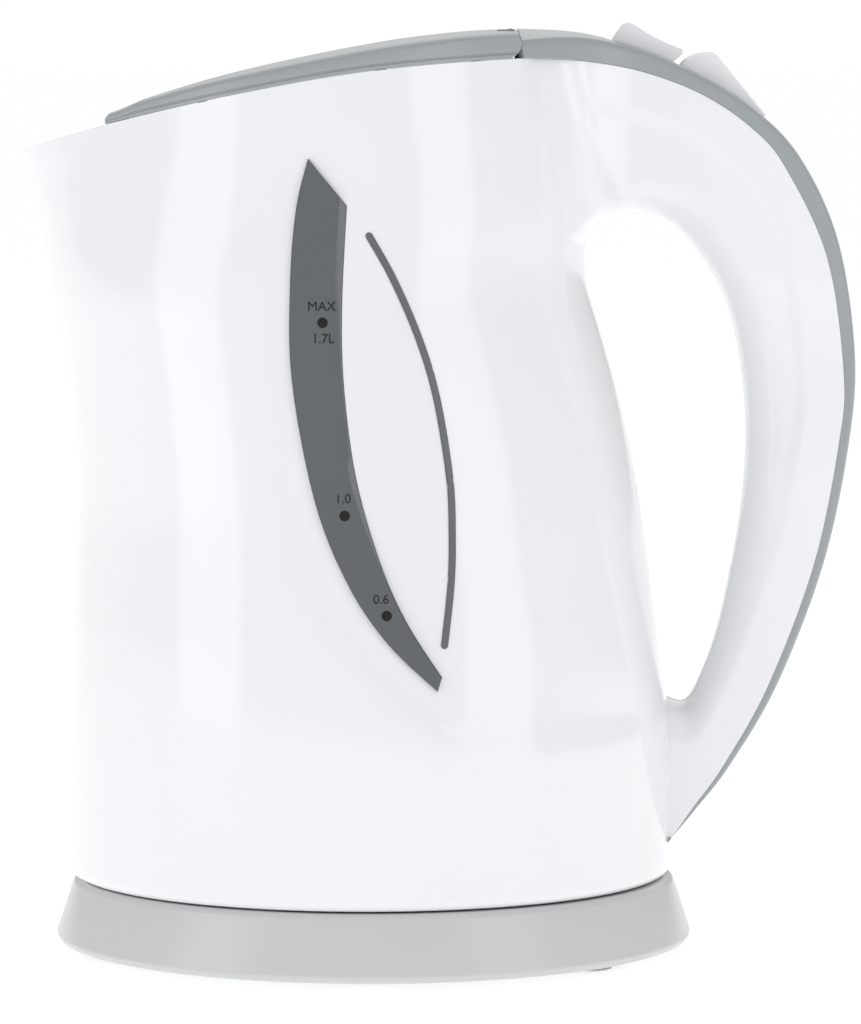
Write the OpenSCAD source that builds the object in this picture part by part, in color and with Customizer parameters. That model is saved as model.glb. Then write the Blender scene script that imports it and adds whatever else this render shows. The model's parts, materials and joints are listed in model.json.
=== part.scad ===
// Cordless electric kettle, 1.7 litres, on a round power base.
// +Z is up, the spout points to -X, the handle to +X, the origin is on the floor on the base's axis.

/* [Power base] */
// Widest radius of the power base
base_r = 82.5; // [81:0.5:84]
// Height of the base's top face over the floor
base_h = 18.6; // [18:0.1:18.8]
// Radius of the bore for the mains cord
cord_bore_r = 3.4; // [3:0.1:3.6]

/* [Body] */
// Wall thickness of the body
wall = 2.5; // [2:0.1:3]
// Height of the steel floor over the table
floor_z = 57; // [56:0.5:58]
// Number of sides round the body
body_sides = 64; // [48:8:80]

/* [Handle] */
// Wall thickness of the handle
handle_wall = 2.5; // [2:0.1:3]
// Skin thickness of the grey cover
cover_skin = 2; // [1.6:0.1:2.4]

/* [Lid] */
// Skin thickness of the lid
lid_skin = 2; // [1.6:0.1:2.2]
// Radius of the hinge pins
hinge_pin_r = 1; // [0.8:0.1:1.2]

/* [Switches] */
// Half width of the two buttons on the handle
button_half_w = 8; // [7:0.5:8]
// Radius of the trunnions that the buttons turn on
trunnion_r = 1.5; // [1.3:0.1:1.6]

/* [Hidden] */
$fn = 64;

white = "#f4f5f7";
grey = "#a3a8aa";
pale_grey = "#c4c7c9";
dark_clear = "#686f73";
black = "#2c2d30";
steel = "#c9ccd0";
brass = "#c8a95a";
silicone = "#d8d8d2";

fit = 0.05;          // radial clearance of a turning fit
body_cx = -1;        // centre of the kettle's round foot
body_foot_z = 19;    // lowest edge of the body

// Rim of the body: height over x. The lid and the handle cover sit on it.
rim_keys = [[-92, 206], [-80, 209.5], [-67, 213.2], [-34, 220.6], [0, 226.6], [37, 229.7],
    [50, 229.3], [60, 228.3]];
// Crown line of the lid: height over x
crown_keys = [[-92, 213.5], [-70, 215.4], [-64, 216.9], [-58, 219.6], [-34, 226.6], [0, 233.7], [20, 236.4],
    [37, 237.3], [60, 236.4]];
// Half width of the body over height
half_keys = [[19, 78.4], [57, 78.1], [79, 76.6], [100, 74.4], [116, 72.9], [134, 71.3], [147, 70],
    [167, 67.5], [188, 65], [206, 63], [232, 60]];
// Back of the body over height
back_keys = [[19, 77.4], [57, 76.8], [64, 76.3], [79, 74.4], [100, 71.3], [116, 69], [134, 65.4],
    [147, 62.2], [160, 58.4], [170, 55.4], [178, 54.6], [190, 55], [206, 53.5], [232, 50]];
// Front of the body over height, out to the spout's tip
front_keys = [[19, -79.4], [57, -79.3], [79, -78.8], [100, -77.5], [116, -76.8], [134, -77.6],
    [147, -78.6], [160, -80.4], [170, -82.1], [178, -83.6], [188, -85.8], [201, -89.4],
    [206, -91.2], [232, -98]];
// Angle over which the spout blends into the round body, over height
spout_keys = [[120, 50], [170, 38], [206, 24], [232, 22]];
// The wall between the water and the handle's mechanism leans forward under the hinge
clip_keys = [[19, 90], [174, 64], [188, 51], [200, 46], [212, 39], [224, 31], [240, 30]];

// Side view of the handle, as (x, z)
handle_outer = [[36.6, 237.4], [53, 236.4], [69, 232.3], [84.5, 225.4], [98.5, 216.6], [110, 204.3],
    [119.5, 183.5], [124, 155], [122.6, 131], [116.3, 100], [104.5, 68.6], [92.4, 47.7],
    [84.3, 37.2], [76.8, 28.4]];
handle_edge = [[36.6, 229.8], [53, 229.1], [69, 226.3], [84.5, 220.4], [97, 211.9], [105.5, 202],
    [116.3, 179], [120.8, 149.3], [119.6, 131], [113.4, 100], [101.8, 68.6], [90.3, 47.7],
    [82.8, 37.2], [76.7, 28.6]];
grip_inner = [[54.6, 176], [55.3, 183], [58.6, 187.9], [65.8, 190.3], [74, 188.6], [82, 182.2],
    [91.5, 166.1], [96, 141.5], [95.3, 115.5], [89.5, 84.3], [84.1, 68.6], [80.7, 63.5], [76.2, 64.4]];
// Half width of the handle over x, and its upper limit over height
plan_keys = [[20, 55], [30, 46], [38, 37.3], [50, 27], [60, 20.5], [70, 17.3], [85, 16], [130, 15]];
flank_keys = [[20, 12.5], [64, 13.5], [120, 14.5], [180, 16.5], [196, 30], [215, 60], [250, 60]];

// Outline of the gauge and of the accent inlay, as (x, z)
gauge_outer = [[-15.4, 205], [-18.3, 193], [-19.8, 175], [-19.4, 150.5], [-13.8, 121], [-5.9, 101],
    [4, 86], [16.6, 73.8]];
gauge_inner = [[17.6, 77], [8.7, 91], [2.1, 106], [-3.6, 126], [-6.6, 148], [-7.2, 168],
    [-6, 193.4]];
trim_line = [[-0.4, 186], [5.6, 175.3], [12, 160.5], [16.4, 145.7], [19.6, 126], [20.2, 112],
    [19.9, 100], [18.3, 85]];
trim_w = 1.6;
// The cover's top falls towards its sides by this share of the distance squared
cover_crown = 0.0022;

hinge_x = 35;
hinge_z = 235;
barrel_r = 2.3;
button_axis = [75, 224.2];
rocker_axis = [88, 215.5];

// Leads inside the handle, from the control housing up to the switch
lead_route = [[34, 46], [44, 43.5], [56, 43], [68, 44], [79, 47], [86, 54], [92, 64], [97, 77],
    [102, 92], [106, 110], [108, 130], [108.5, 148], [106.5, 164], [102, 177], [97.4, 185], [94.5, 189.6]];
lead_r = 1.2;
lead_pitch = 3;

// ---- Curves ----

function span_of(keys, x, i = 0) =
    i >= len(keys) - 2 || x < keys[i + 1][0] ? i : span_of(keys, x, i + 1);
function key_slope(keys, i) =
    let (a = keys[max(i - 1, 0)], b = keys[min(i + 1, len(keys) - 1)]) (b[1] - a[1]) / (b[0] - a[0]);
// Value at x on the smooth curve through the keys [[x, value], ...]
function curve(keys, x) =
    let (
        i = span_of(keys, x), p = keys[i], q = keys[i + 1], w = q[0] - p[0],
        t = min(max((x - p[0]) / w, 0), 1),
        m = key_slope(keys, i) * w, n = key_slope(keys, i + 1) * w
    )
    p[1] * (2 * t ^ 3 - 3 * t ^ 2 + 1) + m * (t ^ 3 - 2 * t ^ 2 + t)
        + q[1] * (3 * t ^ 2 - 2 * t ^ 3) + n * (t ^ 3 - t ^ 2);
function between(a, b, c, d, t) =
    0.5 * (2 * b + (c - a) * t + (2 * a - 5 * b + 4 * c - d) * t ^ 2 + (3 * b - a - 3 * c + d) * t ^ 3);
// Smooth line through the points, with a number of steps from each to the next
function smooth(points, steps = 4) = [
    for (i = [0:len(points) - 2], j = [0:steps - 1])
        between(points[max(i - 1, 0)], points[i], points[i + 1],
            points[min(i + 2, len(points) - 1)], j / steps),
    points[len(points) - 1]
];
function reversed(p) = [for (i = [len(p) - 1:-1:0]) p[i]];
function unit(v) = v / norm(v);
function line_dir(p, i) = unit(p[min(i + 1, len(p) - 1)] - p[max(i - 1, 0)]);
// The line moved sideways, to the left of its own direction
function aside(p, d) = [for (i = [0:len(p) - 1]) let (t = line_dir(p, i)) p[i] + d * [-t[1], t[0]]];

// ---- Body form ----

function body_half(z) = curve(half_keys, z);
function body_centre(z) = curve(back_keys, z) - body_half(z);
function spout_reach(z) = body_centre(z) - body_half(z) - curve(front_keys, z);
function body_radius(z, a) =
    body_half(z) + spout_reach(z) * exp(-((a - 180) / curve(spout_keys, z)) ^ 2);
// The foot's lower edge is rounded
function foot_round(z) = z > 22 ? 0 : 3 * (1 - sqrt(max(0.02, 1 - ((22 - z) / 3) ^ 2)));
function body_x(z, a, inset) = body_centre(z) + (body_radius(z, a) - inset) * cos(a);
function rim_z(a, inset, z = 222, n = 5) =
    n == 0 ? z : rim_z(a, inset, curve(rim_keys, body_x(z, a, inset)), n - 1);
function body_point(z, a, inset) =
    let (r = body_radius(z, a) - inset - foot_round(z)) [body_centre(z) + r * cos(a), r * sin(a), z];
// A ring at a share v of the way from z0 up to the rim plus a lift
function body_ring(v, inset, z0 = body_foot_z, lift = 0, sides = body_sides) = [
    for (i = [0:sides - 1])
        let (a = 360 * i / sides, z = z0 + (rim_z(a, inset) + lift - z0) * v) body_point(z, a, inset)
];
// A ring at a height over the rim
function rim_ring(inset, lift, sides = body_sides) = [
    for (i = [0:sides - 1])
        let (a = 360 * i / sides, z = rim_z(a, inset), p = body_point(z, a, inset)) [p[0], p[1], z + lift]
];
function clip_front(ring) = [for (p = ring) [min(p[0], curve(clip_keys, p[2])), p[1], p[2]]];
function centroid(ring) = [for (k = [0:2]) [for (p = ring) p[k]] * [for (p = ring) 1 / len(ring)]];

// Skin through a list of rings, lowest ring first and each ring counterclockwise from above.
// A closed loft joins the last ring to the first, any other has a fan at each end.
module loft(rings, closed = false) {
    n = len(rings[0]);
    m = len(rings);
    side = [
        for (j = [0:m - (closed ? 1 : 2)], i = [0:n - 1])
            let (a = j * n + i, b = j * n + (i + 1) % n, up = ((j + 1) % m) * n,
                c = up + (i + 1) % n, d = up + i)
            each [[a, d, b], [d, c, b]]
    ];
    fans = closed ? [] : [
        for (i = [0:n - 1])
            each [[n * m, i, (i + 1) % n], [n * m + 1, (m - 1) * n + (i + 1) % n, (m - 1) * n + i]]
    ];
    ends = closed ? [] : [centroid(rings[0]), centroid(rings[m - 1])];
    polyhedron([for (r = rings) each r, each ends], [each side, each fans], convexity = 8);
}

body_levels = [0, 0.005, 0.014, 0.05, 0.12, 0.19, 0.26, 0.33, 0.4, 0.46, 0.52, 0.58, 0.64, 0.69,
    0.74, 0.79, 0.84, 0.88, 0.92, 0.96, 1];

// Everything inside the outer form, down to z0 and up past the rim when lift is over 0
module body_form(inset = 0, z0 = body_foot_z, lift = 0) {
    loft([for (v = body_levels) body_ring(v, inset, z0, lift)]);
}

module water_form() {
    top = 12;
    loft([for (v = body_levels) clip_front(body_ring(v, wall, body_foot_z - 2, top))]);
}

// The hollow between the leaning wall and the back of the body
module neck_hollow() {
    leaning = [for (z = [199:3:241]) [curve(clip_keys, z) + wall, z]];
    intersection() {
        body_form(wall, body_foot_z, 6);
        slab([each leaning, [80, 241], [80, 199]], 70);
    }
}

// Draws an (x, z) outline as a slab across the kettle
module slab(points, half_w) {
    rotate([90, 0, 0]) linear_extrude(2 * half_w, center = true, convexity = 6) polygon(points);
}

// One triangle mesh made of everything inside, for shells whose surfaces are free forms
module as_mesh() {
    resize([0, 0, 0]) union() children();
}

module at_foot_centre() {
    translate([body_cx, 0, 0]) children();
}

module around(count, radius, start = 0) {
    for (i = [0:count - 1]) rotate(start + 360 * i / count) translate([radius, 0, 0]) children();
}

module screw(head_r, head_h, shank_r, shank_l) {
    cylinder(h = head_h, r = head_r);
    translate([0, 0, head_h]) cylinder(h = shank_l, r = shank_r);
}

module tube(r_in, r_out, z0, z1) {
    translate([0, 0, z0]) difference() {
        cylinder(h = z1 - z0, r = r_out);
        translate([0, 0, -1]) cylinder(h = z1 - z0 + 2, r = r_in);
    }
}

// ---- Power base ----

base_screw_r = 52;
base_screw_turn = 20;
socket_flange_z = 15;
gland_z = 8.5;
gland_r = 5;

module base_cover() {
    skirt = [[base_r - 2.6, 1.6], [base_r - 0.9, 2.1], [base_r, 3.6], [77.9, 17.4], [76.7, base_h],
        [61.5, base_h], [60, 17], [26.3, 17], [26.3, socket_flange_z], [61, socket_flange_z],
        [62.5, 16.4], [75.6, 16.4], [base_r - 2.4, 3.6]];
    color(pale_grey) difference() {
        union() {
            rotate_extrude($fn = 128) polygon(skirt);
            around(3, base_screw_r, base_screw_turn) translate([0, 0, 6.2])
                cylinder(h = socket_flange_z - 6.1, r = 3.5);
        }
        around(3, base_screw_r, base_screw_turn) translate([0, 0, 5]) cylinder(h = 8.4, r = 1.2);
        translate([0, 70, gland_z]) rotate([-90, 0, 0]) cylinder(h = 20, r = gland_r + fit);
    }
}

module base_bottom() {
    plate_r = base_r - 2.9;
    color(pale_grey) difference() {
        union() {
            translate([0, 0, 1.6]) cylinder(h = 1.6, r = plate_r, $fn = 128);
            tube(69, 70.2, 3.1, 7);
            around(3, base_screw_r, base_screw_turn) translate([0, 0, 3.1]) cylinder(h = 2.9, r = 5);
            for (side = [-1, 1]) translate([9 * side, 61, 3.1]) cylinder(h = 7.3, r = 3);
        }
        around(3, base_screw_r, base_screw_turn) {
            translate([0, 0, 1]) cylinder(h = 6, r = 1.7);
            translate([0, 0, 1]) cylinder(h = 3, r = 3.3);
        }
        for (side = [-1, 1]) translate([9 * side, 61, 4.5]) cylinder(h = 7, r = 1.1);
        around(3, 70, -38.5) translate([0, 0, 1]) cylinder(h = 3, r = 2.1);
        translate([-gland_r - 1, 66, 3.4]) cube([2 * gland_r + 2, 8, 5]);
    }
}

module base_feet() {
    color("#b4b7b9") around(3, 70, -38.5) {
        cylinder(h = 1.5, r = 6);
        translate([0, 0, 1.4]) cylinder(h = 1.7, r = 2);
    }
}

module base_screws() {
    color(steel) around(3, base_screw_r, base_screw_turn) translate([0, 0, 2.2])
        screw(3, 1.7, 1.1, 9);
}

module base_socket() {
    profile = [[2.6, 8], [16, 8], [16, 12.5], [30, 12.5], [30, 14.9], [26.2, 14.9], [26.2, 18],
        [25.2, 19], [17, 19], [16, 20], [16, 32], [15, 33], [13.5, 33], [13.5, 10], [6.5, 10],
        [6.5, 34], [5.5, 35], [4.2, 35], [4.2, 12], [2.6, 12]];
    color(black) rotate_extrude() polygon(profile);
}

module base_contacts() {
    color(brass) {
        translate([0, 0, 6.5]) cylinder(h = 26.5, r = 2.5);
        translate([0, 0, 33]) intersection() {
            sphere(r = 2.5);
            translate([-3, -3, -0.2]) cube([6, 6, 3]);
        }
        tube(6.55, 7.4, 11, 30);
        tube(12.6, 13.45, 11, 27);
    }
}

// The gland's flange is flat below, over the bottom plate
module cord_gland() {
    color("#6d7073") difference() {
        translate([0, 74, gland_z]) rotate([-90, 0, 0]) difference() {
            union() {
                cylinder(h = 9.8, r = gland_r);
                cylinder(h = 2, r = gland_r + 1.6);
            }
            translate([0, 0, -1]) cylinder(h = 12, r = cord_bore_r);
        }
        translate([-8, 73, 0]) cube([16, 4, 3.4]);
    }
}

module cord_clamp() {
    color(black) difference() {
        translate([-13, 58, 10.5]) cube([26, 6, 2.2]);
        for (side = [-1, 1]) translate([9 * side, 61, 10]) cylinder(h = 4, r = 1.5);
        translate([0, 50, gland_z]) rotate([-90, 0, 0]) cylinder(h = 20, r = cord_bore_r);
    }
}

module clamp_screws() {
    color(steel) for (side = [-1, 1]) translate([9 * side, 61, 14.4]) rotate([180, 0, 0])
        screw(2.5, 1.6, 1.05, 7);
}

// ---- Round connector in the kettle's foot ----

connector_r = 19;

module kettle_connector() {
    sleeve = [[16.6, 21], [connector_r, 21], [connector_r, 44], [32, 44], [32, 47], [0, 47], [0, 44.1],
        [8.6, 44.1], [8.6, 24], [11.4, 24], [11.4, 44.1], [16.6, 44.1]];
    color(black) rotate_extrude() polygon(sleeve);
}

module connector_contacts() {
    color(brass) {
        tube(2.8, 3.9, 26, 44);
        tube(7.7, 8.55, 22, 44);
        tube(11.45, 12.3, 22, 44);
    }
}

// ---- Body and handle shells ----

boss_r = 4;
foot_screw_r = 69.5;
ledge_z = 53.4;

module body_shell() {
    color(white) as_mesh() {
        difference() {
            body_form();
            water_form();
            neck_hollow();
            translate([44, -11, 203]) cube([16, 22, 37]);
            for (side = [-1, 1]) gauge_slab(side, 0.15, 90);
            for (side = [-1, 1]) trim_slab(side, 0.1, 90);
            translate([66, 0, 45]) rotate([0, 90, 0]) cylinder(h = 20, r = 6, $fn = 24);
            translate([28, 0, 213]) rotate([0, 90, 0]) cylinder(h = 20, r = 5.3, $fn = 24);
        }
        at_foot_centre() tube(71, 76.5, ledge_z - 3, ledge_z);
        at_foot_centre() around(3, foot_screw_r, 60) difference() {
            translate([0, 0, 24]) cylinder(h = ledge_z - 25, r = boss_r, $fn = 24);
            translate([0, 0, 22]) cylinder(h = 14, r = 1.2, $fn = 16);
        }
        intersection() {
            body_form(0.5);
            union() {
                for (side = [-1, 1]) difference() {
                    translate([38.5, side * bracket_screw[1] - 3.5, 221]) cube([14, 7, 5.2]);
                    translate([bracket_screw[0], side * bracket_screw[1], 220]) cylinder(h = 8, r = 1.25);
                }
                for (side = [-1, 1]) translate([-86, side * 25 - 1, 172]) cube([24, 2, 34]);
            }
        }
    }
}

// Solid that the handle's side outline, plan and flank share, shrunk by a margin
module handle_limits(margin) {
    plan = [for (x = [20:4:128]) [x, curve(plan_keys, x) - margin]];
    flank = [for (z = [20:6:242]) [curve(flank_keys, z) - margin, z]];
    intersection() {
        translate([0, 0, 10]) linear_extrude(240) polygon([each plan,
            each [for (p = reversed(plan)) [p[0], -p[1]]]]);
        rotate([90, 0, 90]) linear_extrude(140) polygon([each flank,
            each [for (p = reversed(flank)) [-p[0], p[1]]]]);
    }
}

function grip_gap(d) = [each aside(smooth(grip_inner, 3), d), [50, 64.4 - d], [45, 64], [45, 176]];

module handle_shell() {
    edge = smooth(handle_edge, 3);
    color(white) as_mesh() difference() {
        intersection() {
            slab([each edge, [60, 28.6], [40, 60], [38.6, 210]], 60);
            handle_limits(0);
        }
        slab(grip_gap(0), 70);
        body_form(-0.15);
        difference() {
            intersection() {
                slab([each aside(edge, 3), [60, 28.6], [40, 60], [30, 210]], 60);
                handle_limits(handle_wall);
            }
            slab(grip_gap(handle_wall), 70);
            translate([60, -20, 20]) cube([30, 40, 16]);
        }
        translate([30, -9, 226]) cube([14, 18, 12]);
    }
}

module handle_cover() {
    outer = smooth(handle_outer, 4);
    edge = smooth(handle_edge, 3);
    color(grey) as_mesh() difference() {
        intersection() {
            slab([each outer, each reversed(aside(edge, 0.12))], 60);
            handle_limits(0);
            rotate([90, 0, 90]) linear_extrude(140) polygon([[-60, 20],
                each [for (y = [-60:5:60]) [y, 237.6 - y * y * cover_crown]], [60, 20]]);
        }
        intersection() {
            slab([each aside(outer, -cover_skin), each reversed(aside(edge, -6))], 60);
            handle_limits(cover_skin);
        }
        slab([[30, 225], [38.4, 225], [38.4, 234.4], [37.7, 235.4], [36.7, 238], [30, 238]], 60);
        translate([59.6, -button_half_w - 0.6, 200]) cube([42.8, 2 * button_half_w + 1.2, 50]);
        translate([70, -20, 20]) cube([7.6, 40, 20]);
    }
}

module bottom_cover() {
    color(white) difference() {
        union() {
            at_foot_centre() translate([0, 0, 20]) cylinder(h = 2.2, r = 74.6);
            at_foot_centre() tube(72.6, 74.4, 22, 27);
            translate([0, 0, 20]) cylinder(h = 12, r = connector_r + 2.6);
        }
        translate([0, 0, 18]) cylinder(h = 20, r = connector_r + fit);
        at_foot_centre() around(3, foot_screw_r, 60) translate([0, 0, 18]) cylinder(h = 6, r = 1.7);
        at_foot_centre() around(3, foot_screw_r, 60) translate([0, 0, 22]) cylinder(h = 8, r = boss_r + 0.4);
    }
}

module bottom_screws() {
    color(steel) at_foot_centre() around(3, foot_screw_r, 60) translate([0, 0, 19.2])
        screw(3, 0.75, 1.1, 14);
}

// ---- Heater ----

module heating_plate() {
    rim = [[0, floor_z - 0.6], [70, floor_z - 0.6], [70, 54.2], [72.4, 54.2], [72.4, 54.8],
        [70.6, 54.8], [70.6, floor_z], [0, floor_z]];
    color(steel) at_foot_centre() rotate_extrude($fn = 128) polygon(rim);
}

module plate_seal() {
    ring = [[71.4, ledge_z + 0.1], [74.3, ledge_z + 0.1], [74.3, 58], [70.8, 58], [70.8, 55],
        [72.7, 55], [72.7, 54.0], [71.4, 54.0]];
    color(silicone) at_foot_centre() rotate_extrude($fn = 128) polygon(ring);
}

element_ring_r = 45;
element_tube_r = 3.3;
element_z = 49.6;

module heat_spreader() {
    color("#bfc2c6") at_foot_centre() translate([0, 0, 53]) cylinder(h = 3.3, r = 58);
}

module heating_element() {
    color("#a8aaad") at_foot_centre() {
        rotate(25) rotate_extrude(angle = 310) translate([element_ring_r, element_z])
            circle(r = element_tube_r, $fn = 32);
        for (a = [25, -25]) rotate(a) translate([element_ring_r, 0, 40])
            cylinder(h = element_z - 40, r = 1.6);
    }
}

module element_terminals() {
    color(brass) at_foot_centre() for (a = [25, -25]) rotate(a) translate([element_ring_r, 0, 32.2])
        difference() {
            translate([-3, -0.5, 0]) cube([6, 1, 7.6]);
            translate([0, 2, 3]) rotate([90, 0, 0]) cylinder(h = 4, r = 0.9);
        }
}

module control_housing() {
    color(black) difference() {
        union() {
            tube(32.6, 36, 33, 52);
            tube(12, 33, 50, 52);
            for (a = [60, 180, 300]) rotate(a) translate([34, -3, 33]) cube([8, 6, 3]);
        }
        for (a = [60, 180, 300]) rotate(a) translate([39, 0, 30]) cylinder(h = 8, r = 1.3);
        for (side = [-1, 1]) translate([22 * side, 0, 51.6]) cylinder(h = 2, r = 9.3);
        translate([28, -6, 42]) cube([12, 12, 7]);
    }
}

module dry_boil_bimetals() {
    color("#b7a98c") for (side = [-1, 1]) translate([22 * side, 0, 51.9]) cylinder(h = 0.8, r = 9);
}

module control_screws() {
    color(steel) for (a = [60, 180, 300]) rotate(a) translate([39, 0, 31.2]) screw(2.3, 1.6, 1.15, 20);
}

// ---- Gauge, inlay and filter ----

function gauge_outline(d) =
    [each aside(smooth(gauge_outer, 4), -d), each aside(smooth(gauge_inner, 4), -d)];

// The viewer's side is side = -1
module gauge_slab(side, d, reach) {
    rotate([90, 0, 0]) translate([0, 0, side < 0 ? 30 : -reach])
        linear_extrude(reach - 30, convexity = 6) polygon(gauge_outline(d));
}

module trim_slab(side, d, reach) {
    line = smooth(trim_line, 4);
    rotate([90, 0, 0]) translate([0, 0, side < 0 ? 30 : -reach])
        linear_extrude(reach - 30, convexity = 6)
            polygon([each aside(line, trim_w / 2 + d), each reversed(aside(line, -trim_w / 2 - d))]);
}

module wall_slice(outset, inset, sides = 96, rise = 8) {
    band = [for (z = [66:rise:210]) z];
    turn = 360 / sides;
    loft([
        for (z = band) [for (i = [0:sides - 1]) body_point(z, turn * i, -outset)],
        for (z = reversed(band)) [for (i = [0:sides - 1]) body_point(z, turn * i, inset)]
    ], closed = true);
}

module gauge_window(side) {
    color(dark_clear) as_mesh() intersection() {
        wall_slice(0.5, wall - 0.3);
        gauge_slab(side, 0, 90);
    }
}

module gauge_seal(side) {
    color(silicone) as_mesh() intersection() {
        wall_slice(-wall - 0.2, wall + 1.3, 64, 12);
        difference() {
            gauge_slab(side, 2.2, 90);
            gauge_slab(side, -0.8, 95);
        }
    }
}

module accent_trim(side) {
    color("#7b8285") as_mesh() intersection() {
        wall_slice(-0.3, wall - 0.3);
        trim_slab(side, 0, 90);
    }
}

filter_x = -66.5;

module filter_frame() {
    color(pale_grey) difference() {
        translate([filter_x, -23.6, 172]) cube([3, 47.2, 35]);
        for (y = [-21, 1]) translate([filter_x - 1, y, 175]) cube([5, 20, 29]);
    }
}

module filter_mesh() {
    step = 3.1;
    color("#8d9092") for (y0 = [-21, 1]) translate([filter_x + 1.3, y0, 175]) {
        for (k = [1:5]) translate([0, step * k - 0.2, 0.02]) cube([0.4, 0.4, 28.96]);
        for (k = [1:8]) translate([0, 0.02, step * k - 0.2]) cube([0.4, 19.96, 0.4]);
    }
}

// ---- Leads in the handle ----

function ring_at(points, i, r, y, sides = 8) =
    let (t = line_dir(points, i), side = [-t[1], t[0]]) [
        for (k = [0:sides - 1])
            let (a = 360 * k / sides, q = points[i] + side * r * cos(a)) [q[0], y + r * sin(a), q[1]]
    ];

module handle_leads() {
    line = smooth(lead_route, 2);
    for (k = [-1:1]) color(["#2f6fb0", "#d9c64a", "#8a5a3a"][k + 1])
        loft([for (i = [0:len(line) - 1]) ring_at(line, i, lead_r, k * lead_pitch)]);
}

// ---- Steam control and switch ----

steam_z = 213;

module steam_duct() {
    color(black) translate([0, 0, steam_z]) rotate([0, 90, 0]) difference() {
        union() {
            translate([0, 0, 34]) cylinder(h = 19, r = 5);
            translate([0, 0, 52]) cylinder(h = 2, r = 7);
        }
        translate([0, 0, 33]) cylinder(h = 22, r = 3.6);
    }
}

module steam_bimetal() {
    color("#b7a98c") translate([54.8, 0, steam_z]) rotate([0, 90, 0]) cylinder(h = 0.8, r = 6.6);
}

module switch_cradle() {
    outline = [[58, 204], [74, 204], [77, 192.6], [97, 192.6], [97, 205], [93, 212], [90, 218.2],
        [86, 218.2], [82, 216.5], [77.6, 224], [76.5, 226.2], [73.5, 226.2], [70, 224.2], [58, 224.2]];
    color(white) difference() {
        union() {
            for (side = [-1, 1]) translate([0, 9.9 * side, 0]) slab(outline, 1.1);
            translate([58, -9, 204]) cube([2, 18, 20.2]);
        }
        for (c = [button_axis, rocker_axis]) translate([c[0], 15, c[1]]) rotate([90, 0, 0])
            cylinder(h = 30, r = trunnion_r + fit);
        translate([56, 0, steam_z]) rotate([0, 90, 0]) cylinder(h = 6, r = 6);
        translate([57, -3.2, 220]) cube([2.2, 6.4, 6]);
    }
}

module switch_body() {
    color(black) difference() {
        translate([76.5, -8.6, 193]) cube([20, 17.2, 15.5]);
        translate([78.5, -6.9, 199.6]) cube([16, 13.8, 10]);
        for (x = [82, 91]) translate([x - 0.55, -3.1, 192]) cube([1.1, 6.2, 9]);
    }
}

module switch_terminals() {
    color(brass) for (x = [82, 91]) translate([x - 0.5, -3, 187.6]) cube([1, 6, 11.8]);
}

module contact_slider() {
    color("#e8e3d5") difference() {
        translate([80.6, -6.5, 200]) cube([11.4, 13, 4]);
        translate([85, -4, 199]) cube([4, 8, 6]);
    }
}

module power_switch() {
    top = [[77.3, 227.4], [80.2, 229.8], [83.5, 231.1], [87.4, 231.4], [88.4, 230.5], [100.9, 215.3],
        [100.2, 214.3], [96, 214.6], [91.5, 213], [84.5, 213], [81, 219], [77.9, 224]];
    color(white) {
        slab(top, button_half_w);
        slab([[85.8, 214], [85.8, 203], [88.2, 203], [88.2, 214]], 3);
        translate([rocker_axis[0], 10.9, rocker_axis[1]]) rotate([90, 0, 0])
            cylinder(h = 21.8, r = trunnion_r);
    }
}

module lid_button() {
    side = [[61.6, 231.6], [61.6, 234.4], [63.1, 236.8], [65.2, 239.1], [66.7, 238.5], [71.4, 235.6],
        [76.5, 233.2], [79.6, 232], [79.4, 230.8], [76.7, 228.6], [77, 223.2], [73, 223.2],
        [73, 229.6], [71, 233.5], [64.3, 233.5], [64.3, 231.6]];
    color(white) {
        slab(side, button_half_w);
        translate([button_axis[0], 10.9, button_axis[1]]) rotate([90, 0, 0])
            cylinder(h = 21.8, r = trunnion_r);
    }
}

module latch_bolt() {
    side = [[42.6, 226.5], [48.4, 226.5], [48.4, 220.8], [50.4, 220.8], [50.4, 226.5], [68, 226.5],
        [68, 230.4], [66.9, 232], [66.2, 232], [60.8, 229.8], [42.6, 229.8]];
    color("#e8e3d5") slab(side, 3);
}

module latch_spring() {
    turns = 5;
    sides = 12;
    line = [for (i = [0:turns * sides]) [50.7 + 8.2 * i / (turns * sides), 2 * cos(360 * i / sides),
        222.6 + 2 * sin(360 * i / sides)]];
    color(steel) coil(line, [1, 0, 0], 0.3);
}

// Wire of a spring along the line, wound about the axis
module coil(line, axis, r) {
    n = len(line);
    loft([
        for (i = [0:n - 1])
            let (t = unit(line[min(i + 1, n - 1)] - line[max(i - 1, 0)]), u = unit(cross(t, axis)),
                v = cross(t, u))
            [for (k = [0:5]) line[i] + r * (cos(60 * k) * u - sin(60 * k) * v)]
    ]);
}

// ---- Lid and hinge ----

ear_y = [20, 23];
bracket_screw = [40.8, 15.5];
lug_y = [[14, 19.7], [27.2, 30]];

module at_hinge() {
    translate([hinge_x, 0, hinge_z]) rotate([-90, 0, 0]) children();
}

module hinge_bracket() {
    arm = [[hinge_x - 0.6, hinge_z - 2.2], [38.5, 230.4], [38.5, 226.4], [43, 226.4], [43, 228.4],
        [41.6, 229.6], [hinge_x + 1.9, hinge_z + 1.2]];
    color(grey) difference() {
        union() {
            translate([38.5, -23, 226.4]) cube([4.5, 46, 2]);
            for (side = [-1, 1]) {
                y = side > 0 ? ear_y[0] : -ear_y[1];
                translate([0, y + 1.5, 0]) slab(arm, 1.5);
                translate([0, y, 0]) at_hinge() cylinder(h = 3, r = barrel_r);
            }
        }
        at_hinge() translate([0, 0, -30]) cylinder(h = 60, r = hinge_pin_r + 0.02);
        for (side = [-1, 1]) translate([bracket_screw[0], side * bracket_screw[1], 225])
            cylinder(h = 5, r = 1.6);
        translate([41.4, -4, 226]) cube([4, 8, 4]);
    }
}

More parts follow.
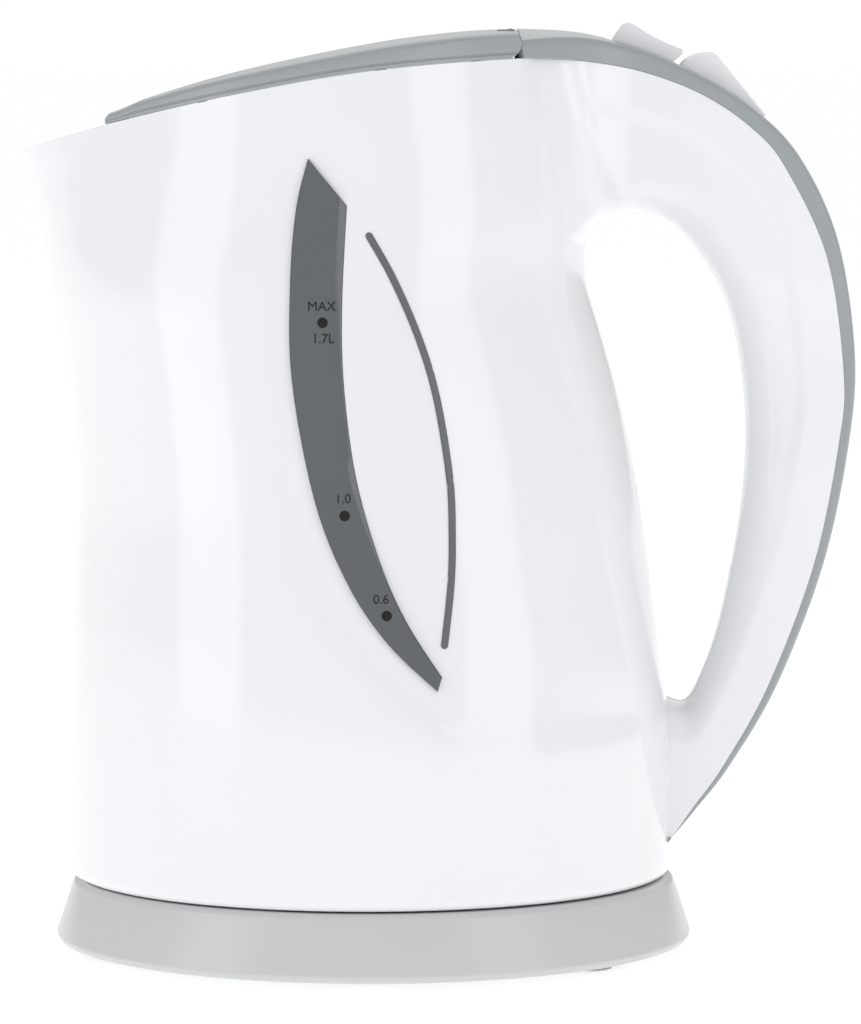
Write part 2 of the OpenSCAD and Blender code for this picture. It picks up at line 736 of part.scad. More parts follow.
module bracket_screws() {
    color(steel) for (side = [-1, 1]) translate([bracket_screw[0], side * bracket_screw[1], 229.8])
        rotate([180, 0, 0]) screw(2, 1.3, 1.2, 6);
}

module hinge_pins() {
    color(steel) for (y = [-29.8, 15.9]) translate([0, y, 0]) at_hinge() cylinder(h = 13.9, r = hinge_pin_r);
}

module lid_springs() {
    turns = 3;
    sides = 12;
    color(steel) for (y0 = [-26.7, 23.4]) {
        line = [for (i = [0:turns * sides]) [hinge_x + 1.65 * cos(360 * i / sides),
            y0 + 0.3 + 2.7 * i / (turns * sides), hinge_z - 1.65 * sin(360 * i / sides)]];
        coil(line, [0, 1, 0], 0.3);
    }
}

module lid_hinge() {
    lug = [[30, 231.8], [33, 231.8], [hinge_x, hinge_z - barrel_r], [hinge_x, hinge_z + barrel_r],
        [hinge_x - 1.2, hinge_z + 1.9], [31.9, 233.6], [30, 233.4]];
    color(grey) difference() {
        union() {
            translate([22, -30, 231.8]) cube([9, 60, 1.7]);
            for (side = [-1, 1], span = lug_y) {
                y = side > 0 ? span[0] : -span[1];
                w = span[1] - span[0];
                translate([0, y + w / 2, 0]) slab(lug, w / 2);
                translate([0, y, 0]) at_hinge() cylinder(h = w, r = barrel_r);
            }
            slab([[29, 231.8], [34, 231.6], [36, 231.2], [40.6, 231.2], [40.6, 233.1], [34, 233.8],
                [29, 233.8]], 6);
        }
        at_hinge() translate([0, 0, -40]) cylinder(h = 80, r = hinge_pin_r + fit);
        for (side = [-1, 1]) translate([26, 10 * side, 230]) cylinder(h = 6, r = 1.4);
    }
}

// Height of the lid's skin: full in the middle, lower towards the rim
function lid_ring(share, inset, drop, sides = body_sides) = [
    for (p = rim_ring(inset, 0, sides))
        let (x = -12 + (p[0] + 12) * share, y = p[1] * share, full = curve(crown_keys, x) - curve(rim_keys, x),
            dome = 0.62 + 0.38 * sqrt(max(0, 1 - share ^ 3)))
        [x, y, curve(rim_keys, x) + full * dome - drop]
];

module lid_form(inset, drop, lift) {
    loft([
        [for (p = rim_ring(inset, 0)) [p[0], p[1], p[2] + lift]],
        lid_ring(1, inset, drop + 1.6),
        lid_ring(0.985, inset, drop + 0.3),
        for (share = [0.95, 0.85, 0.7, 0.5, 0.25, 0.05]) lid_ring(share, inset, drop)
    ]);
}

// Side view of the lid, from its front edge to the rounded back edge
function lid_side(d) = [
    [-67.4 + d, 200], [-67.4 + d, 214.6 - d], [-66.2 + d, 216.2 - d], [-63.8 + d, 220], [-63.8 + d, 245],
    [hinge_x - 4, 245], [hinge_x, hinge_z + barrel_r - d],
    for (a = [70:-20:-10]) [hinge_x, hinge_z] + (barrel_r - d) * [cos(a), sin(a)],
    for (a = [-20:-12:-80]) [hinge_x, hinge_z] + (4.95 - d) * [0.63 * cos(a), sin(a)],
    [hinge_x, 220], [20, 200]
];

module lid_cover() {
    color(grey) as_mesh() {
        difference() {
            intersection() {
                lid_form(0, 0, 0.3);
                slab(lid_side(0), 80);
            }
            intersection() {
                lid_form(lid_skin, lid_skin, -0.5);
                slab(lid_side(lid_skin), 80);
            }
            for (side = [-1, 1]) translate([31.7, side > 0 ? 13.7 : -30.3, 229]) cube([8, 16.6, 12]);
            translate([30, -6.4, 225]) cube([9, 12.8, 9.4]);
        }
        for (c = lid_screw_spots) difference() {
            intersection() {
                lid_form(1, 1, -4.4);
                translate([c[0], c[1], 190]) cylinder(h = 60, r = 3, $fn = 20);
            }
            translate([c[0], c[1], 190]) cylinder(h = curve(rim_keys, c[0]) - 187.6, r = 1.25, $fn = 16);
        }
    }
}

liner_back = 27.5;
liner_front = -60;

liner_inset = 4.2;

function liner_ring(inset, lift) =
    let (back = liner_back + liner_inset - inset, front = liner_front - liner_inset + inset)
    [for (p = rim_ring(inset, lift)) [max(min(p[0], back), front), p[1], p[2]]];

module lid_liner() {
    color(pale_grey) as_mesh() difference() {
        loft([liner_ring(4.7, -7), liner_ring(4.2, -0.5), liner_ring(6.2, -0.5), liner_ring(6.7, -5)]);
        for (c = lid_screw_spots) translate([c[0], c[1], 190]) cylinder(h = 50, r = 1.5, $fn = 16);
    }
}

module lid_seal() {
    color(silicone) as_mesh() loft([liner_ring(3.4, -3.4), liner_ring(3.4, -1.8), liner_ring(4.1, -1.8),
        liner_ring(4.1, -3.4)], closed = true);
}

lid_screw_spots = [[-44, 0], [2, 34], [2, -34]];

module lid_screws() {
    color(steel) for (c = lid_screw_spots) translate([c[0], c[1], curve(rim_keys, c[0]) - 9.9])
        screw(2.5, 1.4, 1.2, 10.7);
}

base_cover();
base_bottom();
base_feet();
base_screws();
base_socket();
base_contacts();
cord_gland();
cord_clamp();
clamp_screws();
kettle_connector();
connector_contacts();
body_shell();
handle_shell();
handle_cover();
bottom_cover();
bottom_screws();
heating_plate();
plate_seal();
heat_spreader();
heating_element();
element_terminals();
control_housing();
dry_boil_bimetals();
control_screws();
gauge_window(-1);  // gauge_window_left
gauge_window(1);  // gauge_window_right
gauge_seal(-1);  // gauge_seal_left
gauge_seal(1);  // gauge_seal_right
accent_trim(-1);  // accent_trim_left
accent_trim(1);  // accent_trim_right
filter_frame();
filter_mesh();
handle_leads();
steam_duct();
steam_bimetal();
switch_cradle();
switch_body();
switch_terminals();
contact_slider();
power_switch();
lid_button();
latch_bolt();
latch_spring();
hinge_bracket();
bracket_screws();
hinge_pins();
lid_springs();
lid_hinge();
lid_cover();
lid_liner();
lid_seal();
lid_screws();
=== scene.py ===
import json
import math

import bpy
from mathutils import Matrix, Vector


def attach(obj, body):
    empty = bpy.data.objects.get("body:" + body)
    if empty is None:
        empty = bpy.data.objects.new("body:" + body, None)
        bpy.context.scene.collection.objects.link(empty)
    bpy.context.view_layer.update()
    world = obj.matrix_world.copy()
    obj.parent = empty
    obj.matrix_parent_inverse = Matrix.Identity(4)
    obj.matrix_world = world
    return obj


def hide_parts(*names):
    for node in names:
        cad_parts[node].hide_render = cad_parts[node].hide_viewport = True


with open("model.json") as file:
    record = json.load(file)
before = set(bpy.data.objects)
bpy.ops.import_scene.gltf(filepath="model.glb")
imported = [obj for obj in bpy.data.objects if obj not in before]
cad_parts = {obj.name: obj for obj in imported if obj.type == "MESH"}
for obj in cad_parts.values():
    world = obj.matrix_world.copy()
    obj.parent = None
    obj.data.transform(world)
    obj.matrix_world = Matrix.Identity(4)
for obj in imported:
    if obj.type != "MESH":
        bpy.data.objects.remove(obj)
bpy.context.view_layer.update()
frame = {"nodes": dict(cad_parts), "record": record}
mm = 0.001
print("stage: frame loaded")


# Camera, lights and floor

viewpoint = {"place": (0.0148, -1.5, 0.231), "tiltDown": 4.52, "lens": 203.9}
studio = {"floorSize": 160, "floorTone": 0.9, "floorGlow": 0.5, "roomGlow": 0.54, "backGlow": 1.0}


def addCamera():
    turn = (math.radians(90 - viewpoint["tiltDown"]), 0, 0)
    bpy.ops.object.camera_add(location=viewpoint["place"], rotation=turn)
    camera = bpy.context.object
    camera.data.lens = viewpoint["lens"]
    camera.data.clip_end = 200
    bpy.context.scene.camera = camera


def addSoftbox(name, place, target, size, watts, tint=(1, 1, 1)):
    bpy.ops.object.light_add(type="AREA", location=place)
    light = bpy.context.object
    light.name = name
    aim = Vector(target) - Vector(place)
    light.rotation_euler = aim.to_track_quat("-Z", "Y").to_euler()
    light.data.shape = "RECTANGLE"
    light.data.size = size[0]
    light.data.size_y = size[1]
    light.data.energy = watts
    light.data.color = tint
    light.visible_camera = False


def lightRoom():
    world = bpy.data.worlds.new("studioRoom")
    bpy.context.scene.world = world
    world.use_nodes = True
    nodes = world.node_tree.nodes
    links = world.node_tree.links
    background = nodes["Background"]
    seen = nodes.new("ShaderNodeLightPath")
    level = nodes.new("ShaderNodeMix")
    level.inputs["A"].default_value = studio["roomGlow"]
    level.inputs["B"].default_value = studio["backGlow"]
    links.new(seen.outputs["Is Camera Ray"], level.inputs["Factor"])
    links.new(level.outputs["Result"], background.inputs["Strength"])
    background.inputs["Color"].default_value = (1, 1, 1, 1)


def addFloor():
    bpy.ops.mesh.primitive_plane_add(size=studio["floorSize"], location=(0, 0, 0))
    floor = bpy.context.object
    floor.name = "floor"
    paint = bpy.data.materials.new("floorPaint")
    paint.use_nodes = True
    shader = paint.node_tree.nodes["Principled BSDF"]
    tone = studio["floorTone"]
    shader.inputs["Base Color"].default_value = (tone, tone, tone, 1)
    shader.inputs["Roughness"].default_value = 0.7
    shader.inputs["Emission Color"].default_value = (1, 1, 1, 1)
    shader.inputs["Emission Strength"].default_value = studio["floorGlow"]
    floor.data.materials.append(paint)


bpy.context.scene.view_settings.view_transform = "Standard"
addCamera()
lightRoom()
addSoftbox("overhead", (0, -0.2, 1.7), (0, 0, 0.1), (1.6, 1.6), 4.5)
addSoftbox("leftPanel", (-1.35, -0.75, 0.5), (0, 0, 0.12), (0.8, 1.5), 5)
addSoftbox("rightPanel", (1.2, -0.95, 0.55), (0.02, 0, 0.12), (0.8, 1.5), 4.2)
addSoftbox("backPanel", (0.3, 1.4, 0.9), (0, 0, 0.12), (1.4, 1.0), 2.6)
addFloor()
print("stage: camera, lights and floor")


# Materials

def newGroup(name, inputs, outputs):
    group = bpy.data.node_groups.new(name, "ShaderNodeTree")
    for label, kind, value in inputs:
        socket = group.interface.new_socket(label, in_out="INPUT", socket_type=kind)
        socket.default_value = value
    for label, kind in outputs:
        group.interface.new_socket(label, in_out="OUTPUT", socket_type=kind)
    start = group.nodes.new("NodeGroupInput")
    end = group.nodes.new("NodeGroupOutput")
    return group, start, end


def addMath(tree, operation, first, second):
    node = tree.nodes.new("ShaderNodeMath")
    node.operation = operation
    for socket, value in zip(node.inputs, (first, second)):
        if isinstance(value, (int, float)):
            socket.default_value = value
        else:
            tree.links.new(value, socket)
    return node.outputs[0]


def addNoise(tree, scale, detail=2.0):
    place = tree.nodes.new("ShaderNodeTexCoord")
    noise = tree.nodes.new("ShaderNodeTexNoise")
    noise.inputs["Detail"].default_value = detail
    if isinstance(scale, (int, float)):
        noise.inputs["Scale"].default_value = scale
    else:
        tree.links.new(scale, noise.inputs["Scale"])
    tree.links.new(place.outputs["Object"], noise.inputs["Vector"])
    return noise.outputs["Fac"]


def makeGrainGroup():
    # Fine surface grain: a height for the bump and a roughness that drifts over the surface
    group, start, end = newGroup(
        "mouldedGrain",
        [("Grain Scale", "NodeSocketFloat", 900.0), ("Roughness", "NodeSocketFloat", 0.3),
         ("Drift", "NodeSocketFloat", 0.05)],
        [("Height", "NodeSocketFloat"), ("Roughness", "NodeSocketFloat")])
    grain = addNoise(group, start.outputs["Grain Scale"], 3.0)
    patch = addNoise(group, 28.0, 2.0)
    centred = addMath(group, "SUBTRACT", patch, 0.5)
    drift = addMath(group, "MULTIPLY", centred, start.outputs["Drift"])
    rough = addMath(group, "ADD", drift, start.outputs["Roughness"])
    group.links.new(grain, end.inputs["Height"])
    group.links.new(rough, end.inputs["Roughness"])
    return group


def makeToneGroup():
    # Slight drift of a colour between two tones
    group, start, end = newGroup(
        "toneDrift",
        [("Tone", "NodeSocketColor", (0.8, 0.8, 0.8, 1)),
         ("Second Tone", "NodeSocketColor", (0.7, 0.7, 0.7, 1)),
         ("Patch Scale", "NodeSocketFloat", 18.0)],
        [("Color", "NodeSocketColor")])
    noise = addNoise(group, start.outputs["Patch Scale"], 2.0)
    mix = group.nodes.new("ShaderNodeMix")
    mix.data_type = "RGBA"
    group.links.new(noise, mix.inputs["Factor"])
    group.links.new(start.outputs["Tone"], mix.inputs["A"])
    group.links.new(start.outputs["Second Tone"], mix.inputs["B"])
    group.links.new(mix.outputs["Result"], end.inputs["Color"])
    return group


grainGroup = makeGrainGroup()
toneGroup = makeToneGroup()


def placeGroup(tree, group, values):
    node = tree.nodes.new("ShaderNodeGroup")
    node.node_tree = group
    for label, value in values.items():
        node.inputs[label].default_value = value
    return node


def rgba(colour, share=1.0):
    return tuple(c * share for c in colour) + (1.0,)


def makeFinish(name, colour, roughness, grain=900.0, bump=0.02, drift=0.04, fade=0.95, metal=0.0, coat=0.0,
               transmission=0.0, sheen=0.0):
    finish = bpy.data.materials.new(name)
    finish.use_nodes = True
    tree = finish.node_tree
    shader = tree.nodes["Principled BSDF"]
    tone = placeGroup(tree, toneGroup, {"Tone": rgba(colour), "Second Tone": rgba(colour, fade)})
    tree.links.new(tone.outputs["Color"], shader.inputs["Base Color"])
    surface = placeGroup(tree, grainGroup, {"Grain Scale": grain, "Roughness": roughness, "Drift": drift})
    tree.links.new(surface.outputs["Roughness"], shader.inputs["Roughness"])
    relief = tree.nodes.new("ShaderNodeBump")
    relief.inputs["Strength"].default_value = bump
    relief.inputs["Distance"].default_value = 0.0004
    tree.links.new(surface.outputs["Height"], relief.inputs["Height"])
    tree.links.new(relief.outputs["Normal"], shader.inputs["Normal"])
    shader.inputs["Metallic"].default_value = metal
    shader.inputs["Coat Weight"].default_value = coat
    shader.inputs["Coat Roughness"].default_value = 0.06
    shader.inputs["Transmission Weight"].default_value = transmission
    shader.inputs["Sheen Weight"].default_value = sheen
    return finish


def makeBrushed(name, colour, roughness, turned):
    # Brushed metal: streaks round the axis on turned discs, along one way on strip
    finish = makeFinish(name, colour, roughness, grain=400.0, bump=0.03, metal=1.0)
    tree = finish.node_tree
    place = tree.nodes.new("ShaderNodeTexCoord")
    wave = tree.nodes.new("ShaderNodeTexWave")
    wave.wave_type = "RINGS" if turned else "BANDS"
    if turned:
        wave.rings_direction = "Z"
    wave.inputs["Scale"].default_value = 260.0
    wave.inputs["Distortion"].default_value = 1.5
    wave.inputs["Detail"].default_value = 3.0
    tree.links.new(place.outputs["Object"], wave.inputs["Vector"])
    relief = [n for n in tree.nodes if n.bl_idname == "ShaderNodeBump"][0]
    tree.links.new(wave.outputs["Fac"], relief.inputs["Height"])
    return finish


def makeLeadFinish():
    # Three leads side by side, told apart by their place across the handle
    finish = makeFinish("leadInsulation", (0.05, 0.2, 0.5), 0.42, grain=700.0, bump=0.05)
    tree = finish.node_tree
    place = tree.nodes.new("ShaderNodeTexCoord")
    split = tree.nodes.new("ShaderNodeSeparateXYZ")
    ramp = tree.nodes.new("ShaderNodeValToRGB")
    ramp.color_ramp.interpolation = "CONSTANT"
    ramp.color_ramp.elements[0].color = (0.04, 0.16, 0.45, 1)
    ramp.color_ramp.elements[1].position = 0.35
    ramp.color_ramp.elements[1].color = (0.5, 0.55, 0.06, 1)
    last = ramp.color_ramp.elements.new(0.65)
    last.color = (0.2, 0.09, 0.04, 1)
    tree.links.new(place.outputs["Object"], split.inputs["Vector"])
    spread = addMath(tree, "MULTIPLY_ADD", split.outputs["Y"], 100.0)
    spread.node.inputs[2].default_value = 0.5
    tree.links.new(spread, ramp.inputs["Fac"])
    shader = tree.nodes["Principled BSDF"]
    tree.links.new(ramp.outputs["Color"], shader.inputs["Base Color"])
    return finish


finishes = {
    "white_plastic": makeFinish("whitePlastic", (0.865, 0.873, 0.895), 0.16, grain=420, bump=0.012,
                                fade=0.985, coat=0.35),
    "grey_plastic": makeFinish("greyPlastic", (0.345, 0.37, 0.382), 0.3, grain=2600, bump=0.06,
                               fade=0.96),
    "pale_grey_plastic": makeFinish("paleGreyPlastic", (0.60, 0.61, 0.615), 0.26, grain=1800,
                                    bump=0.03, fade=0.97),
    "button_plastic": makeFinish("buttonPlastic", (0.87, 0.88, 0.9), 0.2, grain=600, bump=0.012,
                                 fade=0.98, coat=0.2),
    "gauge_plastic": makeFinish("gaugePlastic", (0.135, 0.15, 0.158), 0.1, grain=300, bump=0.006,
                                fade=0.9, coat=0.3, transmission=0.12),
    "inlay_plastic": makeFinish("inlayPlastic", (0.13, 0.142, 0.15), 0.3, grain=1500, bump=0.03,
                                fade=0.93),
    "black_plastic": makeFinish("blackPlastic", (0.025, 0.026, 0.029), 0.4, grain=1500, bump=0.08,
                                fade=0.8),
    "cream_plastic": makeFinish("creamPlastic", (0.75, 0.71, 0.6), 0.38, grain=1200, bump=0.05,
                                fade=0.94),
    "foot_rubber": makeFinish("footRubber", (0.43, 0.44, 0.45), 0.7, grain=1300, bump=0.18,
                              drift=0.1, fade=0.9),
    "black_rubber": makeFinish("blackRubber", (0.03, 0.03, 0.032), 0.65, grain=1100, bump=0.2,
                               drift=0.1, fade=0.8),
    "silicone": makeFinish("siliconeRubber", (0.62, 0.62, 0.58), 0.5, grain=500, bump=0.08,
                           fade=0.93, sheen=0.2),
    "steel": makeFinish("zincSteel", (0.62, 0.63, 0.65), 0.3, grain=800, bump=0.08, drift=0.15,
                        fade=0.9, metal=1.0),
    "stainless_steel": makeBrushed("brushedSteel", (0.66, 0.66, 0.65), 0.24, True),
    "aluminium": makeBrushed("rolledAluminium", (0.72, 0.73, 0.74), 0.36, False),
    "brass": makeFinish("brassStrip", (0.72, 0.52, 0.22), 0.28, grain=900, bump=0.05, drift=0.15,
                        fade=0.85, metal=1.0),
    "bimetal": makeFinish("bimetalDisc", (0.55, 0.47, 0.33), 0.34, grain=700, bump=0.06, drift=0.1,
                          fade=0.85, metal=1.0),
    "lead_insulation": makeLeadFinish(),
}
printInk = makeFinish("gaugeInk", (0.004, 0.004, 0.005), 0.75, grain=2000, bump=0.05, fade=0.7)


def coverNodes():
    for part in frame["record"]["subparts"]:
        node = frame["nodes"][part["node"]]
        for slot in node.material_slots:
            slot.material = finishes[part["material_slot"]]


coverNodes()
print("stage: materials")


# Curves and the kettle's form, in millimetres

def curveAt(keys, x):
    # Value at x on the smooth curve through the keys (x, value)
    i = 0
    while i < len(keys) - 2 and x >= keys[i + 1][0]:
        i += 1
    p, q = keys[i], keys[i + 1]
    width = q[0] - p[0]
    before, after = keys[max(i - 1, 0)], keys[min(i + 2, len(keys) - 1)]
    m = (q[1] - before[1]) / (q[0] - before[0]) * width
    n = (after[1] - p[1]) / (after[0] - p[0]) * width
    t = min(max((x - p[0]) / width, 0), 1)
    return (p[1] * (2 * t**3 - 3 * t**2 + 1) + m * (t**3 - 2 * t**2 + t)
            + q[1] * (3 * t**2 - 2 * t**3) + n * (t**3 - t**2))


def smoothLine(points, steps=8):
    line = []
    for i in range(len(points) - 1):
        a, b = points[max(i - 1, 0)], points[i]
        c, d = points[i + 1], points[min(i + 2, len(points) - 1)]
        for j in range(steps):
            t = j / steps
            line.append(tuple(
                0.5 * (2 * b[k] + (c[k] - a[k]) * t + (2 * a[k] - 5 * b[k] + 4 * c[k] - d[k]) * t**2
                       + (3 * b[k] - a[k] - 3 * c[k] + d[k]) * t**3) for k in (0, 1)))
    line.append(tuple(points[-1]))
    return line


def shift(line, distance):
    # The line moved sideways, to the left of its own direction
    moved = []
    for i, p in enumerate(line):
        a, b = line[max(i - 1, 0)], line[min(i + 1, len(line) - 1)]
        run = math.hypot(b[0] - a[0], b[1] - a[1])
        moved.append((p[0] - distance * (b[1] - a[1]) / run, p[1] + distance * (b[0] - a[0]) / run))
    return moved


def alongLine(line, share):
    steps = [math.dist(a, b) for a, b in zip(line, line[1:])]
    left = share * sum(steps)
    for step, a, b in zip(steps, line, line[1:]):
        if left <= step:
            t = left / step
            return (a[0] + (b[0] - a[0]) * t, a[1] + (b[1] - a[1]) * t)
        left -= step
    return line[-1]


def smoothStep(low, high, x):
    t = min(max((x - low) / (high - low), 0), 1)
    return t * t * (3 - 2 * t)


form = {
    "footZ": 19, "footRound": 3, "wall": 2.5,
    "rim": [(-92, 206), (-80, 209.5), (-67, 213.2), (-34, 220.6), (0, 226.6), (37, 229.7), (50, 229.3),
            (60, 228.3)],
    "half": [(19, 78.4), (57, 78.1), (79, 76.6), (100, 74.4), (116, 72.9), (134, 71.3), (147, 70),
             (167, 67.5), (188, 65), (206, 63), (232, 60)],
    "back": [(19, 77.4), (57, 76.8), (64, 76.3), (79, 74.4), (100, 71.3), (116, 69), (134, 65.4),
             (147, 62.2), (160, 58.4), (170, 55.4), (178, 54.6), (190, 55), (206, 53.5), (232, 50)],
    "front": [(19, -79.4), (57, -79.3), (79, -78.8), (100, -77.5), (116, -76.8), (134, -77.6), (147, -78.6),
              (160, -80.4), (170, -82.1), (178, -83.6), (188, -85.8), (201, -89.4), (206, -91.2),
              (232, -98)],
    "spout": [(120, 50), (170, 38), (206, 24), (232, 22)],
}


def bodyCentre(z):
    return curveAt(form["back"], z) - curveAt(form["half"], z)


def bodyRadius(z, angle):
    half = curveAt(form["half"], z)
    reach = bodyCentre(z) - half - curveAt(form["front"], z)
    return half + reach * math.exp(-(((angle - 180) / curveAt(form["spout"], z)) ** 2))


def rimHeight(angle, inset=0):
    z = 222
    for _ in range(6):
        x = bodyCentre(z) + (bodyRadius(z, angle) - inset) * math.cos(math.radians(angle))
        z = curveAt(form["rim"], x)
    return z


def bodySide(x, z):
    # Half width of the outer form at a place seen from the side
    centre = bodyCentre(z)
    angle = 90.0
    for _ in range(8):
        radius = bodyRadius(z, angle)
        angle = math.degrees(math.acos(min(max((x - centre) / radius, -0.999), 0.999)))
    return bodyRadius(z, angle) * math.sin(math.radians(angle))


# Mesh helpers

def deselect():
    if bpy.context.object and bpy.context.object.mode != "OBJECT":
        bpy.ops.object.mode_set(mode="OBJECT")
    bpy.ops.object.select_all(action="DESELECT")


def pick(piece):
    deselect()
    piece.select_set(True)
    bpy.context.view_layer.objects.active = piece


def tidyMesh(piece, mergeAt=2e-6):
    # Joins seams and poles and turns every face outwards
    pick(piece)
    bpy.ops.object.mode_set(mode="EDIT")
    bpy.ops.mesh.select_all(action="SELECT")
    bpy.ops.mesh.remove_doubles(threshold=mergeAt)
    bpy.ops.mesh.normals_make_consistent(inside=False)
    bpy.ops.object.mode_set(mode="OBJECT")


def wrapGrid(name, columns, rows, place):
    # A grid whose points place(across, along) lays on a form; seams and poles are merged
    deselect()
    bpy.ops.mesh.primitive_grid_add(x_subdivisions=columns, y_subdivisions=rows, size=1, location=(0, 0, 0))
    piece = bpy.context.object
    piece.name = name
    for v in piece.data.vertices:
        v.co = Vector(place(v.co.x + 0.5, v.co.y + 0.5)) * mm
    tidyMesh(piece)
    return piece


def prism(name, outline, low, high):
    # An (x, z) outline drawn through from y = low to y = high
    deselect()
    bpy.ops.mesh.primitive_circle_add(vertices=len(outline), radius=1, fill_type="NGON")
    piece = bpy.context.object
    piece.name = name
    for v, p in zip(piece.data.vertices, outline):
        v.co = Vector((p[0], low, p[1])) * mm
    bpy.ops.object.mode_set(mode="EDIT")
    bpy.ops.mesh.select_all(action="SELECT")
    bpy.ops.mesh.extrude_region_move(TRANSFORM_OT_translate={"value": (0, (high - low) * mm, 0)})
    bpy.ops.object.mode_set(mode="OBJECT")
    tidyMesh(piece)
    return piece


def lathe(name, profile, steps):
    # A closed (r, z) profile spun round the Z axis
    deselect()
    bpy.ops.mesh.primitive_circle_add(vertices=len(profile), radius=1, fill_type="NOTHING")
    piece = bpy.context.object
    piece.name = name
    for v, p in zip(piece.data.vertices, profile):
        v.co = Vector((p[0], 0, p[1])) * mm
    bpy.ops.object.mode_set(mode="EDIT")
    bpy.ops.mesh.select_all(action="SELECT")
    bpy.ops.mesh.spin(steps=steps, angle=2 * math.pi, center=(0, 0, 0), axis=(0, 0, 1))
    bpy.ops.object.mode_set(mode="OBJECT")
    tidyMesh(piece)
    return piece


def rod(radius, length, place, axis, sides=48):
    deselect()
    turn = Vector(axis).to_track_quat("Z", "X").to_euler()
    bpy.ops.mesh.primitive_cylinder_add(vertices=sides, radius=radius * mm, depth=length * mm,
                                        location=Vector(place) * mm, rotation=turn)
    piece = bpy.context.object
    bpy.ops.object.transform_apply(location=True, rotation=True, scale=True)
    return piece


def block(low, high):
    deselect()
    size = Vector(high) - Vector(low)
    bpy.ops.mesh.primitive_cube_add(size=1, location=(Vector(low) + size / 2) * mm, scale=size * mm)
    piece = bpy.context.object
    bpy.ops.object.transform_apply(location=True, rotation=True, scale=True)
    return piece


def applyModifier(piece, kind, **settings):
    pick(piece)
    modifier = piece.modifiers.new(kind.lower(), kind)
    for label, value in settings.items():
        setattr(modifier, label, value)
    bpy.ops.object.modifier_apply(modifier=modifier.name)


def cut(piece, tool, operation="DIFFERENCE"):
    applyModifier(piece, "BOOLEAN", object=tool, operation=operation, solver="EXACT")
    bpy.data.objects.remove(tool)


def thicken(piece, wall):
    applyModifier(piece, "SOLIDIFY", thickness=wall * mm, offset=-1, use_even_offset=True)


def roundEdges(piece, width, segments=3, angle=35):
    applyModifier(piece, "BEVEL", width=width * mm, segments=segments, limit_method="ANGLE",
                  angle_limit=math.radians(angle), miter_outer="MITER_ARC", harden_normals=False)


def joinTo(piece, others):
    deselect()
    for other in others:
        other.select_set(True)
    piece.select_set(True)
    bpy.context.view_layer.objects.active = piece
    bpy.ops.object.join()


def finishPiece(piece, body, slotName, nodes=(), smooth=38):
    pick(piece)
    piece.data.name = piece.name
    piece.data.materials.clear()
    piece.data.materials.append(finishes[slotName])
    if smooth:
        bpy.ops.object.shade_smooth_by_angle(angle=math.radians(smooth))
    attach(piece, body)
    if nodes:
        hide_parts(*nodes)
    print("piece:", piece.name, len(piece.data.polygons), "faces")


# Body shell with its soft relief round the gauge

relief = {
    "depth": 0.75, "softness": 2.0, "sideFade": (0.15, 0.6),
    "fadeFrom": 14, "fadeTo": 46, "lowFade": (56, 66), "highFade": (196, 216),
    "line": [(56.5, 35), (61, 25), (67.5, 13.4), (76.7, 2), (88, -8), (99.3, -15.7), (114.3, -20.7),
             (130.6, -23.9), (149.5, -25.6), (168.4, -25.9), (187.4, -24.6), (206.3, -22.3), (221.5, -20.8)],
}
shell = {"columns": 240, "rows": 132, "footRows": 8, "cutReach": (35, 95),
         "latchNotch": ((44, -11, 203), (60, 11, 240))}
gauge = {
    "outer": [(-15.4, 205), (-18.3, 193), (-19.8, 175), (-19.4, 150.5), (-13.8, 121), (-5.9, 101), (4, 86),
              (16.6, 73.8)],
    "inner": [(17.6, 77), (8.7, 91), (2.1, 106), (-3.6, 126), (-6.6, 148), (-7.2, 168), (-6, 193.4)],
    "proud": 0.5, "gap": 0.12,
}
trim = {
    "line": [(-0.4, 186), (5.6, 175.3), (12, 160.5), (16.4, 145.7), (19.6, 126), (20.2, 112),
             (19.9, 100), (18.3, 85)],
    "width": 1.6, "proud": 0.3, "gap": 0.08, "thickness": 2.4, "reach": (52, 90), "grid": (60, 90),
    "area": ((-8, 78), (28, 194)),
}


def reliefDepth(x, z):
    slope = (curveAt(relief["line"], z + 1) - curveAt(relief["line"], z - 1)) / 2
    away = (x - curveAt(relief["line"], z)) / math.hypot(1, slope)
    step = smoothStep(-relief["softness"], relief["softness"], away)
    fade = 1 - smoothStep(relief["fadeFrom"], relief["fadeTo"], away)
    ends = smoothStep(*relief["lowFade"], z) * (1 - smoothStep(*relief["highFade"], z))
    return relief["depth"] * step * fade * ends


def aroundBody(radius, angle, z):
    turn = math.radians(angle)
    return (bodyCentre(z) + radius * math.cos(turn), radius * math.sin(turn), z)


def bodyPoint(around, up):
    angle = 360 * around
    footShare = shell["footRows"] / shell["rows"]
    drop = 0
    if up < footShare:
        lean = math.radians(90 * up / footShare)
        z = form["footZ"] + form["footRound"] * (1 - math.cos(lean))
        drop = form["footRound"] * (1 - math.sin(lean))
    else:
        low = form["footZ"] + form["footRound"]
        z = low + (rimHeight(angle) - low) * (up - footShare) / (1 - footShare)
    radius = bodyRadius(z, angle) - drop
    turn = math.radians(angle)
    x = bodyCentre(z) + radius * math.cos(turn)
    radius -= reliefDepth(x, z) * smoothStep(*relief["sideFade"], abs(math.sin(turn)))
    return aroundBody(radius, angle, z)


def gaugeOutline(grow):
    return shift(smoothLine(gauge["outer"], 6), -grow) + shift(smoothLine(gauge["inner"], 6), -grow)


def trimOutline(grow):
    line = smoothLine(trim["line"], 5)
    half = trim["width"] / 2 + grow
    left, right = shift(line, half), shift(line, -half)
    return left + roundEnd(line[-1], left[-1]) + list(reversed(right)) + roundEnd(line[0], right[0])


